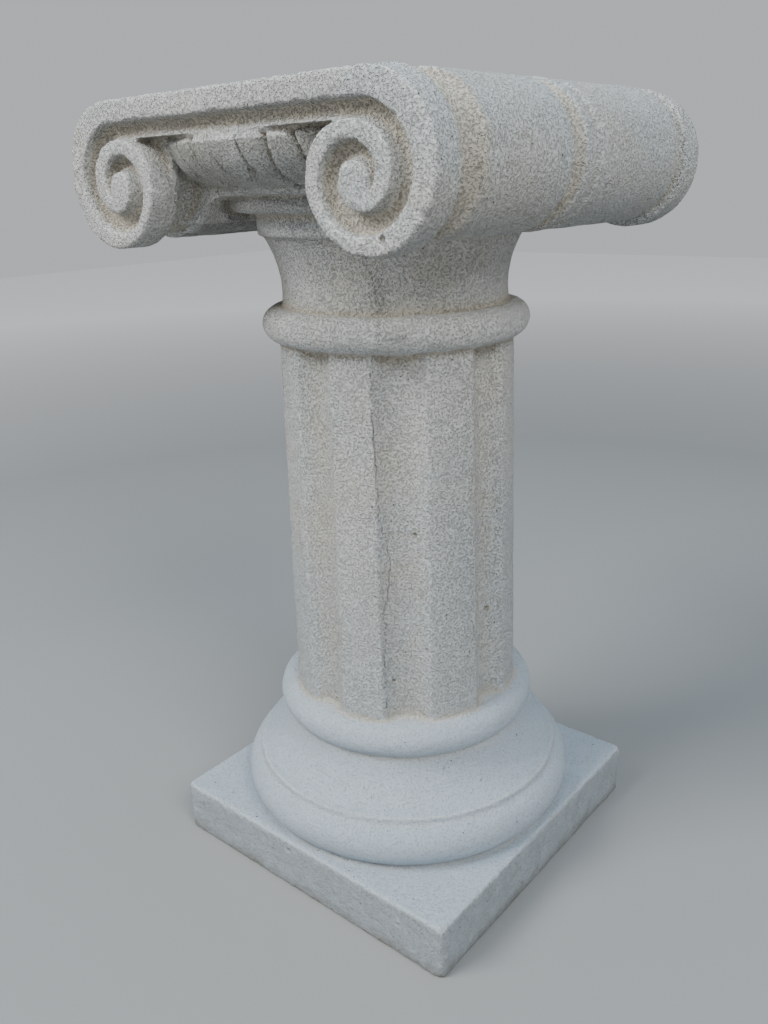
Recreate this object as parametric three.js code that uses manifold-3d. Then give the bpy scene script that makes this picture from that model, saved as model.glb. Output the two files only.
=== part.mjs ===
// A pedestal cast in one piece of pale stone, in the shape of a short Ionic column.
// Millimetres, +Z up, origin at the middle of the underside.
// The two scroll faces look to -Y and +Y, and the two rolls of the capital run along Y.
import * as THREE from 'three';
import { mergeVertices } from 'three/addons/utils/BufferGeometryUtils.js';
import { ParametricGeometry } from 'three/addons/geometries/ParametricGeometry.js';
import Module from 'manifold-3d';

const wasm = await Module();
wasm.setup();

// Plinth
const PLINTH_WIDTH = 352;
const PLINTH_HEIGHT = 57;
const PLINTH_CORNER = 7;
const PLINTH_EDGE = 4;

// Base mouldings, from the plinth up
const LOWER_ROLL_OUTER = 176;
const LOWER_ROLL_TUBE = 25;
const LOWER_ROLL_START = -80;
const BASE_FILLET_RADIUS = 161;
const BASE_FILLET_HEIGHT = 6;
const APRON_FOOT_RADIUS = 158;
const APRON_TOP_RADIUS = 126;
const APRON_HEIGHT = 45;
const APRON_HOLLOW = 5;
const UPPER_ROLL_OUTER = 134.7;
const UPPER_ROLL_TUBE = 17.5;
const UPPER_ROLL_START = -70;
const ROLL_SEAT = 1.5;

// Fluted shaft
const SHAFT_FOOT_RADIUS = 116.3;
const SHAFT_TOP_RADIUS = 111.3;
const SHAFT_LENGTH = 357;
const FLUTE_COUNT = 8;
const FLUTE_WIDTH = 45;
const FLUTE_DEPTH = 11;
const FLUTE_TURN = THREE.MathUtils.degToRad(-3.7);
const WIDE_FLUTE = 1;
const WIDE_FLUTE_WIDTH = 52;
const WIDE_FLUTE_TURN = THREE.MathUtils.degToRad(-1.8);

// Neck, from the bead on the shaft to the ring under the eggs
const BEAD_OUTER = 125.7;
const BEAD_TUBE = 15.5;
const NECK_FOOT_RADIUS = 106.5;
const NECK_WAIST_RADIUS = 101;
const NECK_TOP_RADIUS = 119.5;
const NECK_HEIGHT = 63.3;
const NECK_WAIST = 32;
const COLLAR_RADIUS = 124;
const COLLAR_HEIGHT = 20.2;
const RING_OUTER = 146;
const RING_TUBE = 8.8;

// Egg moulding under the scroll channel
const EGG_BAND_RADIUS = 196;
const EGG_BAND_FOOT_RADIUS = 150;
const EGG_BAND_HEIGHT = 42.5;
const EGG_BAND_LIP = 4.5;
const EGG_BAND_HALF_SPAN = 112;
const EGG_STEP = THREE.MathUtils.degToRad(22.5);
const EGG_TILT = THREE.MathUtils.degToRad(40);
const EGG_HALF_WIDTH = 17;
const EGG_HALF_LENGTH = 21;
const EGG_HALF_THICKNESS = 10;
const EGG_SUNK = 6;
const EGG_PLACE = 0.52;
const SHELL_GAP = 6;
const SHELL_DEPTH = 8;
const DART_HALF_WIDTH = 8;
const DART_HALF_LENGTH = 21;
const DART_RISE = 6;
const DART_PLACE = 0.22;

// Capital
const CAPITAL_WIDTH = 408;
const BACK_FACE_WIDTH = 402;
const CAPITAL_DEPTH = 396;
const CHANNEL_RISE = 1;
const CHANNEL_LAP = 0.7;
const CHANNEL_WIDTH = 13.5;
const CHANNEL_DEPTH = 12;
const BAND_WIDTH = 17.5;
const FACE_END_HALF_WIDTH = 59;
const FACE_END_HALF_HEIGHT = 58.8;
const FACE_ARC_END = -165;
const EYE_DROP = 67.5;
const EYE_INSET = 69;
const FACE_THICKNESS = 28;
const FACE_EDGE = 5;
const BARREL_RADIUS = 58;
const BARREL_INSET = 2.8;
const BARREL_RISE = 3;
const CAPITAL_TURN = THREE.MathUtils.degToRad(-1.3);

// Bands along each roll, as distances from the middle and depths below the roll's surface
const BELT_RIDGE_HALF = 9;
const BELT_CHANNEL_HALF = 25;
const BARREL_FRONT_END = 140;
const BARREL_BACK_END = 156;
const BAND_HOLLOW = 4.5;
const BARREL_SUNK = 1;

// Web between the rolls, behind the egg moulding, with a cove beside each roll
const WEB_DEPTH = 292;
const CROWN_RISE = 5.5;
const COVE_RADIUS = 34;
const COVE_INSET = 81;
const COVE_ARC_START = 75;
const COVE_ARC_END = 25;

// Scroll, every eighth of a turn clockwise from the top, as shares of the face end's half height
const OUTER_EDGE_BEFORE_TOP = [0.791, 0.731];
const OUTER_EDGE_AFTER_TOP = [0.599, 0.532, 0.425, 0.344, 0.291, 0.272, 0.235, 0.196, 0.184];
const OUTER_EDGE_START = 270;
const CHANNEL_WALL_AFTER_TOP = [0.876, 0.859, 0.706, 0.621, 0.626, 0.582, 0.497, 0.412, 0.362, 0.289];
const CHANNEL_END = 455;

// How finely round shapes are divided
const ROUND_STEPS = 36;
const ROLL_STEPS = 28;
const SCROLL_STEP = 18;
const EIGHTH = 45;
const TURN = 360;
const OVERLAP = 2;
const MERGE_GAP = 5e-3;

// Levels
const lowerRollZ = PLINTH_HEIGHT + LOWER_ROLL_TUBE - ROLL_SEAT;
const lowerRollRadius = LOWER_ROLL_OUTER - LOWER_ROLL_TUBE;
const baseFilletZ = lowerRollZ + Math.sqrt(LOWER_ROLL_TUBE ** 2 - (BASE_FILLET_RADIUS - lowerRollRadius) ** 2);
const apronZ = baseFilletZ + BASE_FILLET_HEIGHT;
const apronTopZ = apronZ + APRON_HEIGHT;
const upperRollZ = apronTopZ + UPPER_ROLL_TUBE - ROLL_SEAT;
const upperRollRadius = UPPER_ROLL_OUTER - UPPER_ROLL_TUBE;
const shaftFootZ = upperRollZ + UPPER_ROLL_TUBE;
const shaftTopZ = shaftFootZ + SHAFT_LENGTH;
const beadZ = shaftTopZ + BEAD_TUBE;
const beadRadius = BEAD_OUTER - BEAD_TUBE;
const neckZ = beadZ + BEAD_TUBE;
const collarZ = neckZ + NECK_HEIGHT;
const ringZ = collarZ + COLLAR_HEIGHT + RING_TUBE;
const ringRadius = RING_OUTER - RING_TUBE;
const eggFootZ = ringZ + RING_TUBE;
const ledgeZ = eggFootZ + EGG_BAND_HEIGHT;
const channelFootZ = ledgeZ + CHANNEL_RISE;
const channelTopZ = channelFootZ + CHANNEL_WIDTH;
const capitalTopZ = channelTopZ + BAND_WIDTH;
const capTopZ = capitalTopZ + BARREL_RISE;
const faceEndZ = capitalTopZ - FACE_END_HALF_HEIGHT;
const faceEndX = CAPITAL_WIDTH / 2 - FACE_END_HALF_WIDTH;
const rollZ = capTopZ - BARREL_RADIUS;
const rollX = CAPITAL_WIDTH / 2 - BARREL_INSET - BARREL_RADIUS;
const eyeZ = capitalTopZ - EYE_DROP;
const eyeX = CAPITAL_WIDTH / 2 - EYE_INSET;
const faceY = -CAPITAL_DEPTH / 2;
const faceBackY = faceY + FACE_THICKNESS;
const crownZ = ringZ + CROWN_RISE;

// The scroll's shares with those at its top, where it runs level with the straight channel
const outerEdgeTop = (channelFootZ - eyeZ) / FACE_END_HALF_HEIGHT;
const outerEdgeShares = [...OUTER_EDGE_BEFORE_TOP, outerEdgeTop, ...OUTER_EDGE_AFTER_TOP];
const channelWallTop = (channelTopZ - eyeZ) / FACE_END_HALF_HEIGHT;
const channelWallShares = [channelWallTop, ...CHANNEL_WALL_AFTER_TOP];

// Solids

// Signed volume of an indexed mesh, negative when its faces point in.
function signedVolume(position, index) {
  const [a, b, c] = [new THREE.Vector3(), new THREE.Vector3(), new THREE.Vector3()];
  let sum = 0;
  for (let i = 0; i < index.length; i += 3) {
    a.fromArray(position, index[i] * 3);
    b.fromArray(position, index[i + 1] * 3);
    c.fromArray(position, index[i + 2] * 3);
    sum += a.dot(b.cross(c));
  }
  return sum / 6;
}

// Positions with shared vertices merged, and the triangles that keep three different corners.
function merged(geometry) {
  const bare = geometry.clone();
  bare.deleteAttribute('normal');
  bare.deleteAttribute('uv');
  const whole = mergeVertices(bare, MERGE_GAP);
  const source = whole.index.array;
  const triangles = [];
  for (let i = 0; i < source.length; i += 3) {
    const [a, b, c] = [source[i], source[i + 1], source[i + 2]];
    if (a !== b && b !== c && c !== a) triangles.push(a, b, c);
  }
  return { position: whole.attributes.position.array, triangles };
}

// A closed solid from a three.js geometry, with its faces turned outwards.
function solid(geometry) {
  const { position, triangles } = merged(geometry);
  if (signedVolume(position, triangles) < 0) triangles.reverse();
  const triVerts = Uint32Array.from(triangles);
  return new wasm.Manifold(new wasm.Mesh({ numProp: 3, vertProperties: position, triVerts }));
}

function join(solids) {
  return solids.reduce((sum, next) => sum.add(next));
}

function cut(body, tools) {
  return tools.reduce((rest, tool) => rest.subtract(tool), body);
}

// The same geometry on the front and, turned half round and scaled in width, on the back.
function frontAndBack(geometry, backShare = 1) {
  return [geometry, geometry.clone().scale(backShare, 1, 1).rotateZ(Math.PI)];
}

// The same geometry on the right and, mirrored, on the left.
function rightAndLeft(geometry) {
  return [geometry, geometry.clone().scale(-1, 1, 1)];
}

// Points on a circle of the profile plane, from one angle to another in degrees.
function arc(centreR, centreZ, radius, from, to, steps) {
  return Array.from({ length: steps + 1 }, (_, i) => {
    const angle = THREE.MathUtils.degToRad(from + ((to - from) * i) / steps);
    return new THREE.Vector2(centreR + radius * Math.cos(angle), centreZ + radius * Math.sin(angle));
  });
}

// A body turned about the vertical axis from a profile of radius and height.
function turned(profile) {
  return solid(new THREE.LatheGeometry(profile, ROUND_STEPS).rotateX(Math.PI / 2));
}

// A flat outline in X and Z, thickened along -Y from y = start.
function slab(outline, start, settings) {
  const shape = new THREE.Shape(outline);
  return new THREE.ExtrudeGeometry(shape, settings).rotateX(Math.PI / 2).translate(0, start, 0);
}

// Plinth: a square block with softened corners and edges.
function plinth() {
  const reach = PLINTH_WIDTH / 2;
  const inner = reach - PLINTH_CORNER;
  const outline = [
    ...arc(inner, inner, PLINTH_CORNER, 0, 90, 3),
    ...arc(-inner, inner, PLINTH_CORNER, 90, 180, 3),
    ...arc(-inner, -inner, PLINTH_CORNER, 180, 270, 3),
    ...arc(inner, -inner, PLINTH_CORNER, 270, 360, 3),
  ];
  const block = new THREE.ExtrudeGeometry(new THREE.Shape(outline), {
    depth: PLINTH_HEIGHT - 2 * PLINTH_EDGE,
    bevelThickness: PLINTH_EDGE,
    bevelSize: PLINTH_EDGE,
    bevelOffset: -PLINTH_EDGE,
    bevelSegments: 2,
  });
  return solid(block.translate(0, 0, PLINTH_EDGE));
}

// Base: a large roll, a fillet, a hollow apron and a smaller roll.
function base() {
  const meet = THREE.MathUtils.radToDeg(Math.atan2(baseFilletZ - lowerRollZ, BASE_FILLET_RADIUS - lowerRollRadius));
  const hollow = new THREE.QuadraticBezierCurve(
    new THREE.Vector2(APRON_FOOT_RADIUS, apronZ),
    new THREE.Vector2(
      (APRON_FOOT_RADIUS + APRON_TOP_RADIUS) / 2 - APRON_HOLLOW * 2,
      (apronZ + apronTopZ) / 2 - APRON_HOLLOW * 2,
    ),
    new THREE.Vector2(APRON_TOP_RADIUS, apronTopZ),
  );
  return turned([
    new THREE.Vector2(0, PLINTH_HEIGHT - OVERLAP),
    new THREE.Vector2(lowerRollRadius, PLINTH_HEIGHT - OVERLAP),
    ...arc(lowerRollRadius, lowerRollZ, LOWER_ROLL_TUBE, LOWER_ROLL_START, meet, 7),
    ...hollow.getPoints(3),
    ...arc(upperRollRadius, upperRollZ, UPPER_ROLL_TUBE, UPPER_ROLL_START, 90, 6),
    new THREE.Vector2(0, shaftFootZ),
  ]);
}

// Shaft: a tapering drum with shallow flutes that run straight into the mouldings at both ends.
function shaft() {
  const height = beadZ - upperRollZ;
  const taper = (SHAFT_FOOT_RADIUS - SHAFT_TOP_RADIUS) / SHAFT_LENGTH;
  const drumFoot = SHAFT_FOOT_RADIUS + taper * UPPER_ROLL_TUBE;
  const drumTop = SHAFT_TOP_RADIUS - taper * BEAD_TUBE;
  const drum = turned([
    new THREE.Vector2(0, upperRollZ),
    new THREE.Vector2(drumFoot, upperRollZ),
    new THREE.Vector2(drumTop, beadZ),
    new THREE.Vector2(0, beadZ),
  ]);
  const flutes = Array.from({ length: FLUTE_COUNT }, (_, i) => {
    const wide = i === WIDE_FLUTE;
    const halfWidth = (wide ? WIDE_FLUTE_WIDTH : FLUTE_WIDTH) / 2;
    const radius = (halfWidth ** 2 + FLUTE_DEPTH ** 2) / (2 * FLUTE_DEPTH);
    const middle = (drumFoot + drumTop) / 2 - FLUTE_DEPTH + radius;
    const flute = new THREE.CylinderGeometry(radius, radius, height + 2 * OVERLAP, ROLL_STEPS);
    flute.rotateX(Math.PI / 2).rotateX(-Math.atan(taper));
    flute.translate(0, -middle, (upperRollZ + beadZ) / 2);
    flute.rotateZ(FLUTE_TURN + (wide ? WIDE_FLUTE_TURN : 0) + (2 * Math.PI * i) / FLUTE_COUNT);
    return solid(flute);
  });
  return cut(drum, flutes);
}

// Neck: a bead, a hollow neck, a collar and a ring.
function neck() {
  const hollow = new THREE.QuadraticBezierCurve(
    new THREE.Vector2(NECK_FOOT_RADIUS, neckZ),
    new THREE.Vector2(NECK_WAIST_RADIUS, neckZ + NECK_WAIST),
    new THREE.Vector2(NECK_TOP_RADIUS, collarZ),
  );
  return turned([
    new THREE.Vector2(0, shaftTopZ),
    ...arc(beadRadius, beadZ, BEAD_TUBE, -90, 90, 7),
    ...hollow.getPoints(4),
    new THREE.Vector2(COLLAR_RADIUS, collarZ),
    new THREE.Vector2(COLLAR_RADIUS, ringZ - RING_TUBE),
    ...arc(ringRadius, ringZ, RING_TUBE, -90, 90, 4),
    new THREE.Vector2(0, eggFootZ),
  ]);
}

// An egg shape of given half sizes, set on the egg moulding at an angle round the axis.
function onMoulding(halfWidth, halfLength, halfThickness, radius, height, angle) {
  const egg = new THREE.SphereGeometry(1, 12, 6);
  egg.scale(halfWidth, halfThickness, halfLength);
  egg.rotateX(EGG_TILT);
  egg.translate(0, -radius, height);
  return egg.rotateZ(angle);
}

// Egg moulding: a quarter round between the rolls, with eggs in their shells and darts between.
function eggMoulding() {
  const swell = new THREE.CubicBezierCurve(
    new THREE.Vector2(EGG_BAND_FOOT_RADIUS + EGG_BAND_LIP, eggFootZ + EGG_BAND_LIP),
    new THREE.Vector2((EGG_BAND_RADIUS + EGG_BAND_FOOT_RADIUS) / 2 + EGG_BAND_LIP, eggFootZ + EGG_BAND_LIP * 2),
    new THREE.Vector2(EGG_BAND_RADIUS, ledgeZ - EGG_BAND_HEIGHT / 2),
    new THREE.Vector2(EGG_BAND_RADIUS, ledgeZ - EGG_BAND_LIP),
  );
  const round = turned([
    new THREE.Vector2(0, eggFootZ - OVERLAP),
    new THREE.Vector2(EGG_BAND_FOOT_RADIUS - EGG_BAND_LIP * 2, eggFootZ - OVERLAP),
    new THREE.Vector2(EGG_BAND_FOOT_RADIUS, eggFootZ + EGG_BAND_LIP / 2),
    ...swell.getPoints(5),
    new THREE.Vector2(EGG_BAND_RADIUS - EGG_BAND_LIP, channelFootZ + 2 * CHANNEL_LAP),
    new THREE.Vector2(0, channelFootZ + 2 * CHANNEL_LAP),
  ]);
  const between = new THREE.BoxGeometry(2 * EGG_BAND_HALF_SPAN, 2 * EGG_BAND_RADIUS, 2 * EGG_BAND_HEIGHT);
  const band = round.intersect(solid(between.translate(0, 0, (eggFootZ + ledgeZ) / 2)));
  const middle = swell.getPoint(EGG_PLACE);
  const tip = swell.getPoint(DART_PLACE);
  const inward = new THREE.Vector2(Math.cos(EGG_TILT), -Math.sin(EGG_TILT)).multiplyScalar(-EGG_SUNK);
  const shells = [];
  const eggs = [];
  for (const turn of [-1, 0, 1]) {
    const shell = onMoulding(
      EGG_HALF_WIDTH + SHELL_GAP, EGG_HALF_LENGTH + SHELL_GAP, SHELL_DEPTH, middle.x, middle.y, turn * EGG_STEP,
    );
    const egg = onMoulding(
      EGG_HALF_WIDTH, EGG_HALF_LENGTH, EGG_HALF_THICKNESS,
      middle.x + inward.x, middle.y + inward.y, turn * EGG_STEP,
    );
    shells.push(...frontAndBack(shell).map(solid));
    eggs.push(...frontAndBack(egg).map(solid));
  }
  const darts = [-0.5, 0.5].flatMap((turn) => {
    const dart = onMoulding(
      DART_HALF_WIDTH, DART_HALF_LENGTH, DART_RISE, tip.x, tip.y, turn * EGG_STEP,
    );
    return frontAndBack(dart).map(solid);
  });
  return join([cut(band, shells), ...eggs, ...darts]);
}

// Smooth radius at an angle from values that are an eighth of a turn apart.
function radiusAt(shares, start, angle) {
  const knots = shares.map((share, i) => new THREE.Vector2(i, share * FACE_END_HALF_HEIGHT));
  const along = (angle - start) / EIGHTH / (shares.length - 1);
  return new THREE.SplineCurve(knots).getPoint(THREE.MathUtils.clamp(along, 0, 1)).y;
}

// A point of the right scroll at a clockwise angle from the top and a distance from its eye.
function scrollPoint(angle, radius) {
  const turn = THREE.MathUtils.degToRad(angle);
  return new THREE.Vector2(eyeX + radius * Math.sin(turn), eyeZ + radius * Math.cos(turn));
}

// Outer edge of the scroll's band from where it leaves the roll's circle.
function outerEdge(angle) {
  return scrollPoint(angle, radiusAt(outerEdgeShares, OUTER_EDGE_START, angle));
}

// Outer wall of the scroll's channel.
function channelWall(angle) {
  return scrollPoint(angle, radiusAt(channelWallShares, 0, angle));
}

// Outline of one scroll face: the flat top, two round ends and the scrolls' inner sides.
function faceOutline() {
  const end = arc(0, 0, 1, 90, FACE_ARC_END, 15).map((point) => new THREE.Vector2(
    faceEndX + FACE_END_HALF_WIDTH * point.x,
    faceEndZ + FACE_END_HALF_HEIGHT * point.y,
  ));
  const inside = [];
  for (let angle = OUTER_EDGE_START + SCROLL_STEP; angle < TURN; angle += SCROLL_STEP) inside.push(outerEdge(angle));
  const right = [...end, ...inside, new THREE.Vector2(eyeX, channelFootZ + CHANNEL_LAP)];
  const left = right.map((point) => new THREE.Vector2(-point.x, point.y)).reverse();
  return [...right, ...left];
}

// The stone taken out of the channel: a hollow with a round floor, from the left eye to the right one.
function channelTool() {
  const steps = Math.round(CHANNEL_END / SCROLL_STEP);
  const section = [
    [0, -OVERLAP], [0, CHANNEL_DEPTH / 2], [0.25, CHANNEL_DEPTH],
    [0.75, CHANNEL_DEPTH], [1, CHANNEL_DEPTH / 2], [1, -OVERLAP],
  ];
  const last = 2 * steps + 1;
  const slices = last + 2;
  return new ParametricGeometry((u, v, target) => {
    const slice = Math.round(u * slices);
    const station = THREE.MathUtils.clamp(slice - 1, 0, last);
    const side = station <= steps ? -1 : 1;
    const angle = (CHANNEL_END / steps) * (side < 0 ? steps - station : station - steps - 1);
    const capped = slice === 0 || slice === slices;
    const [across, depth] = capped ? [0.5, 0] : section[Math.round(v * section.length) % section.length];
    const point = channelWall(angle).lerp(outerEdge(angle + TURN), across);
    target.set(side * point.x, faceY + depth, point.y);
  }, slices, section.length);
}

// Radii along half a roll, from the belt in the middle to the back of a scroll face.
function rollBands(barrelEnd) {
  const hollow = BARREL_RADIUS - BAND_HOLLOW;
  const barrel = BARREL_RADIUS - BARREL_SUNK;
  const shoulder = hollow + BARREL_SUNK;
  const endY = -faceBackY;
  return [
    new THREE.Vector2(barrel, BELT_RIDGE_HALF / 2),
    new THREE.Vector2(shoulder, BELT_RIDGE_HALF),
    new THREE.Vector2(hollow, (BELT_RIDGE_HALF + BELT_CHANNEL_HALF) / 2),
    new THREE.Vector2(shoulder, BELT_CHANNEL_HALF - BARREL_SUNK),
    new THREE.Vector2(barrel, BELT_CHANNEL_HALF),
    new THREE.Vector2(barrel, barrelEnd),
    new THREE.Vector2(shoulder, barrelEnd + BARREL_SUNK),
    new THREE.Vector2(hollow, (barrelEnd + endY) / 2),
    new THREE.Vector2(BARREL_RADIUS - 2 * BARREL_SUNK, endY + OVERLAP),
    new THREE.Vector2(0, endY + OVERLAP),
  ];
}

// One roll of the capital: a barrel in two halves with a belt and two hollow bands.
function roll() {
  const front = rollBands(BARREL_FRONT_END).map((point) => new THREE.Vector2(point.x, -point.y));
  const profile = [...front.reverse(), ...rollBands(BARREL_BACK_END)];
  return new THREE.LatheGeometry(profile, ROLL_STEPS).translate(rollX, 0, rollZ);
}

// Web that ties the rolls together behind the egg moulding, coved beside each roll.
function web() {
  const coveX = rollX - COVE_INSET;
  const right = [
    new THREE.Vector2(coveX, crownZ),
    ...arc(coveX, crownZ - COVE_RADIUS, COVE_RADIUS, COVE_ARC_START, COVE_ARC_END, 4),
    new THREE.Vector2(rollX, rollZ - COVE_RADIUS),
    new THREE.Vector2(rollX, ledgeZ + OVERLAP),
  ];
  const left = right.map((point) => new THREE.Vector2(-point.x, point.y)).reverse();
  return slab([...right, ...left], WEB_DEPTH / 2, { depth: WEB_DEPTH, bevelEnabled: false });
}

// Capital: two scroll faces on a flat plate, a cap between two rolls, the web and the egg moulding.
function capital() {
  const face = slab(faceOutline(), faceBackY - FACE_EDGE, {
    depth: FACE_THICKNESS - 2 * FACE_EDGE,
    bevelThickness: FACE_EDGE,
    bevelSize: FACE_EDGE,
    bevelOffset: -FACE_EDGE,
    bevelSegments: 2,
  });
  const backShare = BACK_FACE_WIDTH / CAPITAL_WIDTH;
  const plate = new THREE.BoxGeometry(2 * rollX, -2 * (faceBackY - 2 * OVERLAP), capitalTopZ - ledgeZ);
  plate.translate(0, 0, (capitalTopZ + ledgeZ) / 2);
  const capHeight = BARREL_RISE + BAND_WIDTH / 2;
  const cap = new THREE.BoxGeometry(2 * rollX, BARREL_FRONT_END + BARREL_BACK_END, capHeight);
  cap.translate(0, (BARREL_BACK_END - BARREL_FRONT_END) / 2, capTopZ - capHeight / 2);
  const block = join([
    ...frontAndBack(face, backShare).map(solid),
    solid(plate),
    solid(cap),
    ...rightAndLeft(roll()).map(solid),
    solid(web()),
  ]);
  const channels = frontAndBack(channelTool(), backShare).map(solid);
  const level = cut(block, channels).add(eggMoulding());
  return solid(geometryOf(level).rotateZ(CAPITAL_TURN));
}

// A three.js geometry of a finished solid.
function geometryOf(body) {
  const mesh = body.getMesh();
  const raw = new THREE.BufferGeometry();
  raw.setAttribute('position', new THREE.BufferAttribute(mesh.vertProperties, mesh.numProp));
  raw.setIndex(new THREE.BufferAttribute(mesh.triVerts, 1));
  const { position, triangles } = merged(raw);
  const geometry = new THREE.BufferGeometry();
  geometry.setAttribute('position', new THREE.BufferAttribute(position, mesh.numProp));
  geometry.setIndex(triangles);
  geometry.computeVertexNormals();
  return geometry;
}

const castStone = new THREE.MeshStandardMaterial({ color: 0xc9c7be, roughness: 0.92, metalness: 0 });
const pedestal = new THREE.Mesh(geometryOf(join([plinth(), base(), shaft(), neck(), capital()])), castStone);
pedestal.name = 'ionic_pedestal';

const group = new THREE.Group();
group.add(pedestal);

export default group;
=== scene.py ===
# %% [markdown]
# A garden pedestal of pale cast stone: a short Ionic column, cast in one piece.
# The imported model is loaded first. It gives the frame that every piece is set in.

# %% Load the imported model
import math

import bpy
import numpy as np
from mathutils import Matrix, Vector, noise


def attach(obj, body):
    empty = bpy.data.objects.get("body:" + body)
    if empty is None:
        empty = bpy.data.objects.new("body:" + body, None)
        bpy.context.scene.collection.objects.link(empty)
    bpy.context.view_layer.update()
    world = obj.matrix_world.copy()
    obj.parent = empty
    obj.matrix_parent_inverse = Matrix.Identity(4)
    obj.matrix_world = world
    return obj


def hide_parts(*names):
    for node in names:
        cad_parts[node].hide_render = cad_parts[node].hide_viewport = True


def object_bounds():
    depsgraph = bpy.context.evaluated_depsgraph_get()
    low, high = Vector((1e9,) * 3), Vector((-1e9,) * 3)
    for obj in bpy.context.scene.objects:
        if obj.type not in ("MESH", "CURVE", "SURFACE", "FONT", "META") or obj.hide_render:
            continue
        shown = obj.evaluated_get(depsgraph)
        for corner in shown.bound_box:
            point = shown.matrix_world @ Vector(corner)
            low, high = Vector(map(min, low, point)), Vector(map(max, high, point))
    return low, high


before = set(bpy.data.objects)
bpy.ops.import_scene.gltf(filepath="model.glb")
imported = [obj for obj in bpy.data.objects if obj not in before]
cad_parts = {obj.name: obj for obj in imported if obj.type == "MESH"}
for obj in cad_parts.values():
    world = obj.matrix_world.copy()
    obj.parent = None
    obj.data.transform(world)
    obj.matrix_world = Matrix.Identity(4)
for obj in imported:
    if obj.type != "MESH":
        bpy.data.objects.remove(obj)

cad_box = [list(corner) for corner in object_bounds()]
print("nodes:", sorted(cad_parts))
print("box in metres:", cad_box)

# %% [markdown]
# All sizes are in millimetres, as a mason would write them, and are turned into metres where they are used.
# The levels stack up from the ground, so one height can change and the rest still meet.

# %% Levels of the pedestal
MM = 0.001
PLINTH_WIDTH, PLINTH_HEIGHT = 352, 57
PLINTH_CORNER, PLINTH_EDGE = 7, 3.5
# A roll, bead or ring is given as the reach of its tube's middle and the tube's own radius.
LOWER_ROLL, LOWER_ROLL_Z = (151, 25), 80.5
UPPER_ROLL, UPPER_ROLL_Z = (117.2, 17.5), 170.4
FILLET_R, APRON_FOOT_Z, APRON_TOP_Z = 161.2, 109.4, 154.4
SHAFT_FOOT_Z, SHAFT_TOP_Z = 187.9, 544.9
BEAD, BEAD_Z = (110.2, 15.5), 560.4
NECK_FOOT_Z, COLLAR_Z = 575.9, 639.2
RING, RING_Z = (137.2, 8.8), 668.2
EGG_FOOT_Z, LEDGE_Z, FACE_TOP_Z, TOP_Z = 677, 719.5, 751.5, 754.5
print("height:", TOP_Z, "mm, shaft:", round(SHAFT_TOP_Z - SHAFT_FOOT_Z), "mm")

# %% [markdown]
# Every operator acts on all that is selected, so each step starts with nothing selected.
# These small helpers choose one object, and apply a modifier as soon as it is set.

# %% Helpers for choosing and finishing
def clear():
    if bpy.context.object and bpy.context.object.mode != "OBJECT":
        bpy.ops.object.mode_set(mode="OBJECT")
    bpy.ops.object.select_all(action="DESELECT")


def choose(*bodies):
    clear()
    for body in bodies:
        body.select_set(True)
    bpy.context.view_layer.objects.active = bodies[0]


def apply_modifier(body, kind, **settings):
    choose(body)
    bpy.ops.object.modifier_add(type=kind)
    modifier = body.modifiers[-1]
    for name, value in settings.items():
        setattr(modifier, name, value)
    bpy.ops.object.modifier_apply(modifier=modifier.name)


def carve(body, tool, operation="DIFFERENCE"):
    apply_modifier(body, "BOOLEAN", object=tool, operation=operation, solver="EXACT")
    bpy.data.objects.remove(tool)


def still(body):
    choose(body)
    bpy.ops.object.transform_apply(location=True, rotation=True, scale=True)
    return body


def arc(centre_r, centre_z, radius, start, end, steps):
    angles = np.radians(np.linspace(start, end, steps + 1))
    return [(centre_r + radius * math.cos(a), centre_z + radius * math.sin(a)) for a in angles]


print("helpers ready")

# %% [markdown]
# The round mouldings of a column were run with a template that turns about its axis.
# Here a filled circle does the same: it is extruded up row by row, and each row is scaled to its radius.

# %% A round body from rows of radius and height
def turned(name, rows, sides=160):
    clear()
    radius, height = rows[0]
    bpy.ops.mesh.primitive_circle_add(vertices=sides, radius=radius * MM, fill_type="NGON",
                                      location=(0, 0, height * MM))
    body = still(bpy.context.object)
    body.name = name
    bpy.ops.object.mode_set(mode="EDIT")
    bpy.ops.mesh.select_all(action="SELECT")
    for (r0, z0), (r1, z1) in zip(rows, rows[1:]):
        bpy.ops.mesh.extrude_region_move(TRANSFORM_OT_translate={"value": (0, 0, (z1 - z0) * MM)})
        bpy.ops.transform.resize(value=(r1 / r0, r1 / r0, 1), center_override=(0, 0, z1 * MM))
    bpy.ops.mesh.select_all(action="SELECT")
    bpy.ops.mesh.normals_make_consistent(inside=False)
    bpy.ops.object.mode_set(mode="OBJECT")
    print(name, len(body.data.polygons), "faces")
    return body


# %% [markdown]
# The plinth is a square block. Its corners are rounded first, and then all its sharp edges a little.

# %% Plinth
def plinth():
    clear()
    bpy.ops.mesh.primitive_cube_add(size=1, location=(0, 0, PLINTH_HEIGHT / 2 * MM),
                                    scale=(PLINTH_WIDTH * MM, PLINTH_WIDTH * MM, PLINTH_HEIGHT * MM))
    body = still(bpy.context.object)
    body.name = "plinth"
    bpy.ops.object.mode_set(mode="EDIT")
    bpy.ops.mesh.select_mode(type="EDGE")
    bpy.ops.mesh.select_all(action="DESELECT")
    bpy.ops.object.mode_set(mode="OBJECT")
    for edge in body.data.edges:
        a, b = (body.data.vertices[i].co for i in edge.vertices)
        edge.select = abs(a.z - b.z) > 0.01
    bpy.ops.object.mode_set(mode="EDIT")
    bpy.ops.mesh.bevel(offset=PLINTH_CORNER * MM, segments=4, profile=0.5)
    bpy.ops.object.mode_set(mode="OBJECT")
    apply_modifier(body, "BEVEL", width=PLINTH_EDGE * MM, segments=3, limit_method="ANGLE",
                   angle_limit=math.radians(60))
    print("plinth", len(body.data.polygons), "faces")
    return body


stone = [plinth()]

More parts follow.
